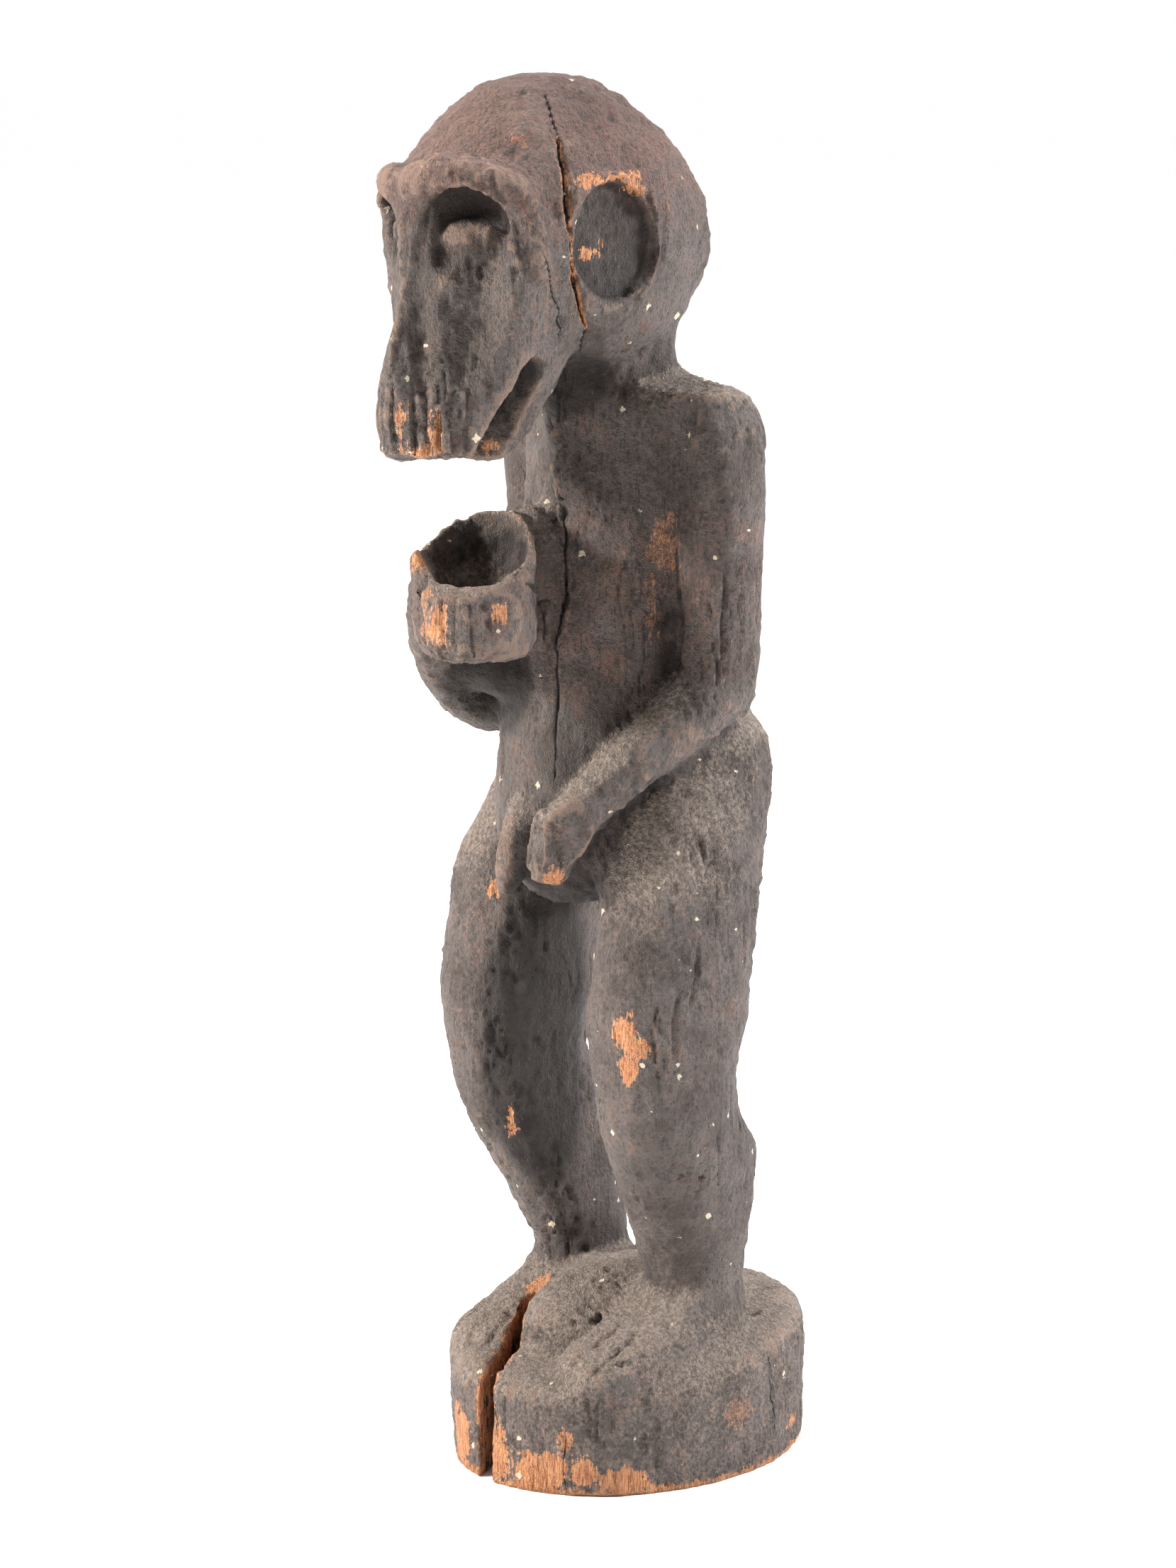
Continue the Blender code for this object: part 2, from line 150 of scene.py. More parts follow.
class Clay:
    """A mesh's surface held as arrays, so that whole areas of it can be moved at once."""

    def __init__(self, mesh: bpy.types.Mesh) -> None:
        """Takes the surface of a mesh."""
        self.mesh = mesh
        count = len(mesh.vertices)
        self.points = self.read("co")
        pairs = np.empty(len(mesh.edges) * 2, np.int32)
        mesh.edges.foreach_get("vertices", pairs)
        self.pairs = pairs.reshape(-1, 2)
        self.links = np.maximum(np.bincount(pairs, minlength=count), 1)
        self.normals = self.read("normal")

    def read(self, what: str) -> np.ndarray:
        """Reads a value of three numbers from every vertex."""
        flat = np.empty(len(self.mesh.vertices) * 3, np.float32)
        self.mesh.vertices.foreach_get(what, flat)
        return flat.reshape(-1, 3).astype(float)

    def settle(self) -> None:
        """Puts the moved points back in the mesh and works the normals out again."""
        self.mesh.vertices.foreach_set("co", self.points.astype(np.float32).ravel())
        self.mesh.update()
        self.normals = self.read("normal")

    def near_mean(self, values: np.ndarray) -> np.ndarray:
        """The mean over each vertex's neighbours, of one number or of several."""
        first, second = self.pairs.T
        columns = values.reshape(len(values), -1)
        means = np.empty_like(columns)
        for i, column in enumerate(columns.T):
            total = np.bincount(first, column[second], len(column))
            total += np.bincount(second, column[first], len(column))
            means[:, i] = total / self.links
        return means.reshape(values.shape)

    def spread(self, values: np.ndarray, passes: int) -> np.ndarray:
        """Evens values out over the surface in a number of passes."""
        for _ in range(passes):
            values = 0.4 * values + 0.6 * self.near_mean(values)
        return values

    def ease(self, share: np.ndarray, passes: int) -> None:
        """Smooths the surface itself, as strongly at each vertex as its share says."""
        for _ in range(passes):
            self.points += (self.near_mean(self.points) - self.points) * (0.6 * share)[:, None]

    def within(self, middle: Place, radii: Place) -> np.ndarray:
        """How far inside a soft ellipsoid each vertex lies, from zero at its edge to one."""
        apart = (self.points - np.array(middle) * MM) / (np.array(radii) * MM)
        return np.clip(1 - (apart**2).sum(1), 0, 1) ** 2


@dataclass(frozen=True)
class Swell:
    """A soft place that is pushed out or in, or smoothed where it has passes."""

    middle: Place
    radii: Place
    push: Place = (0, 0, 0)
    passes: int = 0
    crisp: float = 1

    def work(self, clay: Clay) -> None:
        """Moves the surface around the place."""
        share = np.minimum(clay.within(self.middle, self.radii) * self.crisp, 1)
        if self.passes:
            clay.ease(np.minimum(share * 2, 1), self.passes)
        clay.points += share[:, None] * np.array(self.push) * MM

    def mirrored(self) -> "Swell":
        """The same work on the figure's other side."""
        return replace(self, middle=flipped(self.middle), push=flipped(self.push))


@dataclass(frozen=True)
class Facet:
    """A flat cut by the adze: whatever stands proud of a plane near its middle is taken off."""

    middle: Place
    facing: Place
    radii: Place
    share: float = 0.8
    fills: bool = False
    crisp: float = 3

    def work(self, clay: Clay) -> None:
        """Lays the surface near the middle onto the plane."""
        facing = np.array(self.facing) / np.linalg.norm(self.facing)
        proud = (clay.points - np.array(self.middle) * MM) @ facing
        if not self.fills:
            proud = np.maximum(proud, 0)
        near = np.minimum(clay.within(self.middle, self.radii) * self.crisp, 1)
        looks = eased(-0.2, 0.4, clay.normals @ facing)
        clay.points -= (proud * near * looks * self.share)[:, None] * facing

    def mirrored(self) -> "Facet":
        """The same cut on the figure's other side."""
        return replace(self, middle=flipped(self.middle), facing=flipped(self.facing))


class Cut(Enum):
    """The kinds of line on the surface. The value says how much clean wood shows in it."""

    CRACK = 0.0
    SPLIT = 1.0
    GROOVE = -1.0
    RIDGE = -2.0


@dataclass(frozen=True)
class Line:
    """A crack, groove or ridge that runs over the surface. Width and depth are in millimetres."""

    path: tuple[Place, ...]
    width: float
    depth: float
    cut: Cut = Cut.GROOVE
    wander: float = 0.5

    def laid(self, surface: BVHTree) -> tuple[np.ndarray, np.ndarray, np.ndarray]:
        """Lays the line on the surface.

        Args:
            surface: the surface that it runs over.

        Returns:
            Its points, the surface's normals there, and its half width at each point.
        """
        ends = [Vector(point) * MM for point in self.path]
        last = len(ends) - 1
        points, normals = [], []
        for i in range(last):
            before, start, end, after = ends[max(i - 1, 0)], ends[i], ends[i + 1], ends[min(i + 2, last)]
            steps = max(2, int((end - start).length / LINE_STEP))
            for step in range(steps + (i == last - 1)):
                t = step / steps
                bend = 2 * before - 5 * start + 4 * end - after + t * (3 * (start - end) + after - before)
                place = start + 0.5 * t * (end - before + t * bend)
                place, normal, _, _ = surface.find_nearest(place)
                points.append(place)
                normals.append(normal)
        spots = np.array(points)
        facing = np.array(normals)
        along = np.gradient(spots, axis=0)
        along /= np.linalg.norm(along, axis=1)[:, None] + 1e-9
        aside = np.cross(along, facing)
        spots = spots + aside * (Relief.LINE_PATH.at(spots) * self.wander * MM)[:, None]
        run = np.linspace(0, 1, len(spots))
        taper = np.minimum(1, 5 * np.minimum(run, 1 - run) + 0.15)
        half = self.width / 2 * MM * taper * (1 + 0.35 * Relief.LINE_WIDTH.at(spots))
        return spots, facing, half

    def across(self, clay: Clay, laid: tuple[np.ndarray, np.ndarray, np.ndarray]) -> tuple[np.ndarray, ...]:
        """Measures each vertex against the line.

        Args:
            clay: the surface that is measured.
            laid: what laid() gave.

        Returns:
            The rows of the vertices near the line, how far aside of it each is, with a sign for its
            side, and the line's half width there. All but the rows are in metres.
        """
        spots, facing, half = laid
        low, high = spots.min(0) - LINE_REACH, spots.max(0) + LINE_REACH
        rows = np.flatnonzero(((clay.points > low) & (clay.points < high)).all(1))
        points, normals = clay.points[rows], clay.normals[rows]
        best = np.full(len(rows), FAR)
        offset = np.full(len(rows), FAR)
        width = np.zeros(len(rows))
        for i in range(len(spots) - 1):
            run = spots[i + 1] - spots[i]
            length = np.linalg.norm(run) + 1e-9
            share = np.clip((points - spots[i]) @ run / length**2, 0, 1)
            apart = points - spots[i] - share[:, None] * run
            up = (apart * facing[i]).sum(1)
            flat = apart - up[:, None] * facing[i]
            away = np.linalg.norm(flat, axis=1)
            strange = (np.abs(up) > LINE_THICKNESS) | (normals @ facing[i] < -0.3)
            measure = np.where(strange, FAR, away)
            closer = measure < best
            best = np.where(closer, measure, best)
            side = np.sign(flat @ np.cross(run, facing[i]))
            offset = np.where(closer, away * np.where(side == 0, 1, side), offset)
            width = np.where(closer, half[i] * (1 - share) + half[i + 1] * share, width)
        near = best < LINE_REACH
        return rows[near], offset[near], width[near]

    def carve(self, clay: Clay, surface: BVHTree) -> None:
        """Cuts the line into the surface, or raises it where it is a ridge."""
        rows, offset, half = self.across(clay, self.laid(surface))
        run = np.clip(1 - np.abs(offset) / np.maximum(half, 1e-6), 0, 1)
        run = run * run * (3 - 2 * run) if self.cut in (Cut.GROOVE, Cut.RIDGE) else run**0.6
        lift = self.depth * MM * run * (1 if self.cut is Cut.RIDGE else -1)
        clay.points[rows] += clay.normals[rows] * lift[:, None]

    def mirrored(self) -> "Line":
        """The same line on the figure's other side."""
        return replace(self, path=tuple(flipped(place) for place in self.path))


def both(work: Swell | Facet | Line) -> tuple[Swell | Facet | Line, ...]:
    """A piece of work on the figure's left side, and then the same on its right side."""
    return work, work.mirrored()


@dataclass(frozen=True)
class Shade:
    """A place of painted shade: the wood's colour is darker there by its share; below zero it takes painted
    occlusion shade away.
    """

    middle: Place
    radii: Place
    share: float


@dataclass(frozen=True)
class Patch:
    """A place where the dark skin is gone and clean wood shows."""

    middle: Place
    radii: Place
    fresh: float = 0.85

    def reach(self, clay: Clay) -> np.ndarray:
        """How many millimetres inside the patch's edge each vertex lies, at most its smallest radius."""
        apart = (clay.points / MM - np.array(self.middle)) / np.array(self.radii)
        return (1 - np.sqrt((apart**2).sum(1))) * min(self.radii)


class Wire:
    """A number that runs through a node tree. Plain arithmetic on it adds the nodes."""

    def __init__(self, tree: bpy.types.NodeTree, socket: bpy.types.NodeSocket) -> None:
        """Takes hold of an output socket."""
        self.tree = tree
        self.socket = socket

    def maths(self, operation: str, *values: "Wire | float", first: bool = True) -> "Wire":
        """Adds a Math node.

        Args:
            operation: what the node does.
            values: its other values, in order.
            first: whether this number is the node's first value or its second.

        Returns:
            The node's result.
        """
        node = self.tree.nodes.new("ShaderNodeMath")
        node.operation = operation
        order = (self, *values) if first else (*values, self)
        for socket, value in zip(node.inputs, order):
            if isinstance(value, Wire):
                self.tree.links.new(value.socket, socket)
            else:
                socket.default_value = value
        return Wire(self.tree, node.outputs[0])

    def __add__(self, other: "Wire | float") -> "Wire":
        """Adds."""
        return self.maths("ADD", other)

    __radd__ = __add__

    def __sub__(self, other: "Wire | float") -> "Wire":
        """Takes away."""
        return self.maths("SUBTRACT", other)

    def __rsub__(self, other: float) -> "Wire":
        """Takes this away from a number."""
        return self.maths("SUBTRACT", other, first=False)

    def __mul__(self, other: "Wire | float") -> "Wire":
        """Multiplies."""
        return self.maths("MULTIPLY", other)

    __rmul__ = __mul__

    def __abs__(self) -> "Wire":
        """Drops the sign."""
        return self.maths("ABSOLUTE")

    def least(self, other: "Wire | float") -> "Wire":
        """The smaller of two."""
        return self.maths("MINIMUM", other)

    def most(self, other: "Wire | float") -> "Wire":
        """The larger of two."""
        return self.maths("MAXIMUM", other)

    def rise(self, low: float, high: float) -> "Wire":
        """Goes smoothly from zero at low to one at high, or back where low is the larger."""
        node = self.tree.nodes.new("ShaderNodeMapRange")
        node.interpolation_type = "SMOOTHSTEP"
        start, end, to_low, to_high = (low, high, 0.0, 1.0) if low < high else (high, low, 1.0, 0.0)
        self.tree.links.new(self.socket, node.inputs["Value"])
        node.inputs["From Min"].default_value = start
        node.inputs["From Max"].default_value = end
        node.inputs["To Min"].default_value = to_low
        node.inputs["To Max"].default_value = to_high
        return Wire(self.tree, node.outputs["Result"])


class Bench:
    """Where a material's nodes are put together."""

    def __init__(self, name: str) -> None:
        """Starts an empty material with its shader and its output."""
        self.material = bpy.data.materials.new(name)
        self.material.use_nodes = True
        self.tree = self.material.node_tree
        self.tree.nodes.clear()
        self.shader = self.tree.nodes.new("ShaderNodeBsdfPrincipled")
        output = self.tree.nodes.new("ShaderNodeOutputMaterial")
        self.tree.links.new(self.shader.outputs["BSDF"], output.inputs["Surface"])
        self.place = self.node("ShaderNodeTexCoord", {}, {}, "Object")

    def node(self, kind: str, settings: dict, inputs: dict, output: str | int = 0) -> Wire:
        """Adds any node.

        Args:
            kind: the node's type.
            settings: what is set on the node itself.
            inputs: a value or a Wire for each named or numbered socket.
            output: which of its results is wanted.

        Returns:
            That result.
        """
        node = self.tree.nodes.new(kind)
        for name, value in settings.items():
            setattr(node, name, value)
        for name, value in inputs.items():
            self.feed(node.inputs[name], value)
        return Wire(self.tree, node.outputs[output])

    def feed(self, socket: bpy.types.NodeSocket, value: object) -> None:
        """Links or sets a socket."""
        if isinstance(value, Wire):
            self.tree.links.new(value.socket, socket)
        else:
            socket.default_value = value

    def left(self, name: str) -> Wire:
        """A number that the carving left on the surface."""
        return self.node("ShaderNodeAttribute", {"attribute_name": name}, {}, "Fac")

    def left_three(self, name: str) -> tuple[Wire, ...]:
        """Three numbers that the carving left on the surface."""
        whole = self.node("ShaderNodeAttribute", {"attribute_name": name}, {}, "Vector")
        return tuple(self.node("ShaderNodeSeparateXYZ", {}, {0: whole}, part) for part in range(3))

    def paced(self, pitch: Place | float) -> Wire:
        """The place on the surface, counted in patches of one size in millimetres, or of three."""
        sizes = pitch if isinstance(pitch, tuple) else (pitch, pitch, pitch)
        counts = tuple(MM_PER_METRE / size for size in sizes)
        return self.node("ShaderNodeVectorMath", {"operation": "MULTIPLY"}, {0: self.place, 1: counts})

    def noise(self, pitch: Place | float, detail: float, roughness: float = 0.55, warp: float = 0.0) -> Wire:
        """Soft noise from zero to one.

        Args:
            pitch: the size of its patches in millimetres, or three sizes where they are longer one way.
            detail: how many finer layers it has.
            roughness: how strong the finer layers are.
            warp: how much it is twisted.

        Returns:
            The noise.
        """
        inputs = {
            "Vector": self.paced(pitch),
            "Scale": 1.0,
            "Detail": detail,
            "Roughness": roughness,
            "Distortion": warp,
        }
        return self.node("ShaderNodeTexNoise", {"noise_dimensions": "3D"}, inputs, "Fac")

    def cells(self, pitch: float, output: str) -> Wire:
        """Cells about scattered points: the distance to the nearest, or the cell's own colour."""
        inputs = {"Vector": self.paced(pitch), "Scale": 1.0}
        return self.node("ShaderNodeTexVoronoi", {"feature": "F1", "distance": "MANHATTAN"}, inputs, output)

    def mixed(self, under: Wire | str, over: Wire | str, share: Wire | float) -> Wire:
        """Lays one colour over another by a share. Either may be a written colour."""
        under, over = (tone(side) if isinstance(side, str) else side for side in (under, over))
        settings = {"data_type": "RGBA", "blend_type": "MIX"}
        return self.node("ShaderNodeMix", settings, {0: share, 6: under, 7: over}, 2)

    def layered(self, under: Wire | str, *coats: tuple[Wire | str, Wire | float]) -> Wire:
        """Lays coats over a colour in order, each a colour with its share."""
        for colour, share in coats:
            under = self.mixed(under, colour, share)
        return under


@dataclass(frozen=True)
class Mottle:
    """The noises that the wood's colours and its fine relief share, each from zero to one."""

    clouds: Wire
    blotch: Wire
    speck: Wire
    grit: Wire
    grain: Wire
    fine_grain: Wire

    @classmethod
    def over(cls, bench: Bench) -> "Mottle":
        """Adds the noises to a material."""
        return cls(
            clouds=bench.noise(38, 3, 0.6, 0.4),
            blotch=bench.noise(11, 4, 0.65, 0.6),
            speck=bench.noise(2.2, 4, 0.7),
            grit=bench.noise(0.75, 2, 0.7),
            grain=bench.noise((1.4, 1.4, 22), 3, 0.6, 0.3),
            fine_grain=bench.noise((0.5, 0.5, 9), 2, 0.6),
        )


@dataclass(frozen=True)
class AgedWood:
    """Old carved hardwood under a dark handled skin, with dust above and clean wood in its chips."""

    # Near-black brown: real grime in grain lines and blotches, and also the colour of painted shade.
    soot_and_shade: str = "#241c18"
    umber: str = "#4d4039"
    grey: str = "#6b625d"
    rust: str = "#6a4a3a"
    ruddy: str = "#6e4c40"
    dust: str = "#84756a"
    pale_dust: str = "#a8998c"
    # Lighter worn brown: real nicks and rubbing, and also painted highlights on ridges and bumps.
    worn: str = "#8a6f5e"
    clean: str = "#b5714a"
    clean_light: str = "#d09a6c"
    clean_dark: str = "#7d4428"
    stale: str = "#8a604a"
    # Near-black painted shade, laid inside the cracks and in recesses by occlusion.
    shade_black: str = "#0c0807"
    fleck: str = "#dccbb0"
    fibre: str = "#b3a69a"

    fleck_pitch: float = 11
    bump_depth: float = 1.8
    sheen_under: float = 0.35

    def mixed(self) -> bpy.types.Material:
        """Builds the material.

        Returns:
            The material, which reads what the carving left on the surface.
        """
        bench = Bench("Aged wood")
        noise = Mottle.over(bench)
        fresh = bench.left("fresh")
        dusty = self.dustiness(bench, noise)
        skin = self.dusted(bench, noise, self.skin(bench, noise), dusty)
        wood = self.wood(bench, noise, fresh)
        stripped = self.stripped(bench, noise, fresh)
        left_on = (noise.speck * 0.6 + noise.grit * 0.4 + fresh * 0.5).rise(0.95, 0.65) * 0.9
        crack_shade, lips = self.cracked(bench, noise)
        flecks = self.flecked(bench, noise)
        colour = bench.layered(
            skin,
            (bench.mixed(wood, skin, left_on), stripped),
            (wood, lips),
            # Painted shade: near-black inside the cracks, and in recesses where the occlusion is high.
            (self.shade_black, crack_shade * 0.96),
            (self.shade_black, bench.left("occlusion_shade").rise(0.5, 0.95) * 0.6),
            (self.fleck, flecks * 0.9),
        )
        bench.feed(bench.shader.inputs["Base Color"], colour)
        shine = 0.72 + dusty * 0.22 + (noise.speck - 0.5) * 0.3 + stripped * 0.1
        bench.feed(bench.shader.inputs["Roughness"], shine.least(1.0))
        height = (
            (noise.blotch - 0.5) * 1.5
            + (noise.speck - 0.5) * 3.0
            + (noise.grit - 0.5) * 1.3
            + (noise.grain - 0.5) * 0.5
            + (noise.fine_grain - 0.5) * 0.1
            - stripped * 0.35
            - crack_shade * 1.6
            + flecks * 0.2
        )
        inputs = {"Strength": 1.0, "Distance": self.bump_depth * MM, "Height": height}
        bench.feed(bench.shader.inputs["Normal"], bench.node("ShaderNodeBump", {}, inputs))
        bench.feed(bench.shader.inputs["Specular IOR Level"], self.sheen_under)
        return bench.material

    def skin(self, bench: Bench, noise: Mottle) -> Wire:
        """Colours the dark handled skin: brown and grey, rusty, ruddy on the head, painted shade in
        near-black brown where it is deep, with random grimy blotches.
        """
        blotchy, specked = noise.blotch - 0.5, noise.speck - 0.5
        greyed = (noise.clouds * 0.6 + noise.blotch * 0.4).rise(0.36, 0.66)
        rusty = (noise.blotch * 0.4 + noise.clouds * 0.3 + noise.speck * 0.3).rise(0.5, 0.62) * 0.6
        reddened = (bench.left("ruddy") + specked * 1.6 + blotchy * 1.4).rise(0.3, 1.1) * 0.7
        grained = (noise.grain * 0.5 + noise.speck * 0.5).rise(0.5, 0.36) * 0.6
        nicked = (noise.grit * 0.4 + noise.speck * 0.6).rise(0.56, 0.72) * 0.45
        # Painted shade in the near-black brown, led by the dark mark (occlusion, fine pits and the shade
        # places), with random grimy blotches.
        shade_and_grime = (bench.left("dark") + blotchy * 0.5 + specked * 0.4).rise(0.1, 1.0) * 0.9
        return bench.layered(
            self.umber,
            (self.grey, greyed),
            (self.rust, rusty),
            (self.ruddy, reddened),
            (self.soot_and_shade, grained),
            (self.worn, nicked),
            (self.soot_and_shade, shade_and_grime),
        )

    def dustiness(self, bench: Bench, noise: Mottle) -> Wire:
        """How thickly the dust lies."""
        spread = bench.left("dust") + (noise.blotch - 0.5) * 0.8 + (noise.speck - 0.5) * 0.9
        return spread.rise(0.25, 1.05) * 0.85

    def dusted(self, bench: Bench, noise: Mottle, skin: Wire, dusty: Wire) -> Wire:
        """Lays dust, grime, worn places lightened also as painted highlights, and loose fibres over the skin.
        """
        paled = (noise.speck * 0.6 + noise.grit * 0.4).rise(0.42, 0.72)
        powder = bench.mixed(self.dust, self.pale_dust, paled)
        grimy = (noise.speck * 0.7 + noise.grit * 0.3).rise(0.58, 0.4) * (noise.blotch * 0.5 + 0.5)
        # Lighter where the worn mark is high: real rubbing on edges, and a painted highlight on ridges and
        # fine bumps.
        rubbed_and_highlit = bench.left("worn") + (noise.speck - 0.5) * 0.9 + (noise.grit - 0.5) * 0.5
        threads = bench.noise((0.35, 0.35, 5), 1, 0.5, 1.4).rise(0.69, 0.73)
        return bench.layered(
            skin,
            (powder, dusty),
            (self.soot_and_shade, grimy * 0.5),
            (self.worn, rubbed_and_highlit.rise(0.35, 1.15) * 0.5),
            (self.fibre, threads * noise.clouds.rise(0.42, 0.6) * 0.3),
        )

    def wood(self, bench: Bench, noise: Mottle, fresh: Wire) -> Wire:
        """Colours the wood under the skin: orange and grained where a chip is fresh, dull where it is old."""
        light = noise.fine_grain.rise(0.4, 0.65)
        lines = (noise.grain * 0.6 + noise.fine_grain * 0.4).rise(0.52, 0.36) * 0.85
        wood = bench.layered(self.clean, (self.clean_light, light), (self.clean_dark, lines))
        return bench.mixed(self.stale, wood, (fresh + (noise.speck - 0.5) * 0.6).rise(0.2, 0.75))

    def stripped(self, bench: Bench, noise: Mottle, fresh: Wire) -> Wire:
        """Where the skin is gone: in the patches, with ragged edges, and in small chips on worn edges."""
        blotchy, specked = noise.blotch - 0.5, noise.speck - 0.5
        ragged = bench.left("bare") + blotchy * (26 - fresh * 18) + specked * 6
        ragged = ragged + (noise.grain - 0.5) * 8 + (noise.grit - 0.5) * 2
        chipped = (bench.left("worn") + blotchy * 2.4 + specked * 2.4).rise(1.9, 2.2)
        return ragged.rise(-0.4, 0.8).most(chipped * 0.7)

    def cracked(self, bench: Bench, noise: Mottle) -> tuple[Wire, Wire]:
        """The painted shade inside the cracks, and the clean wood along the lips of the wide ones."""
        aside, half, kind = bench.left_three("crack")
        off = abs(aside) + (noise.grit - 0.5) * 0.5
        split = kind.rise(0.2, 0.8)
        inside = off - half * (1 - split * 0.5) + (noise.speck - 0.5) * 0.5
        # Painted shade: near-black inside each crack, where the place lies within its half width.
        crack_shade = inside.rise(0.15, -0.4) * kind.rise(-0.6, -0.4)
        patchy = (noise.blotch * 0.6 + noise.speck * 0.4).rise(0.4, 0.5)
        lips = (off - half).rise(0.9, 0.0) * split * patchy
        return crack_shade, lips * (1 - crack_shade)

    def flecked(self, bench: Bench, noise: Mottle) -> Wire:
        """The pale flecks: in some of the cells of a scatter, and where one is placed."""
        apart = bench.cells(self.fleck_pitch, "Distance")
        chance = bench.node("ShaderNodeSeparateColor", {}, {0: bench.cells(self.fleck_pitch, "Color")}, 0)
        size = (chance - 0.52 + (noise.clouds - 0.5) * 0.8) * 0.5
        inside = size - apart + (noise.speck - 0.5) * 0.45 + (noise.grit - 0.5) * 0.12
        scattered = inside.rise(0.0, 0.02) * (1 - bench.left("dark").rise(0.5, 0.9))
        placed = (bench.left("fleck") + (noise.speck - 0.5) * 1.4).rise(0.0, 0.25)
        return scattered.most(placed)


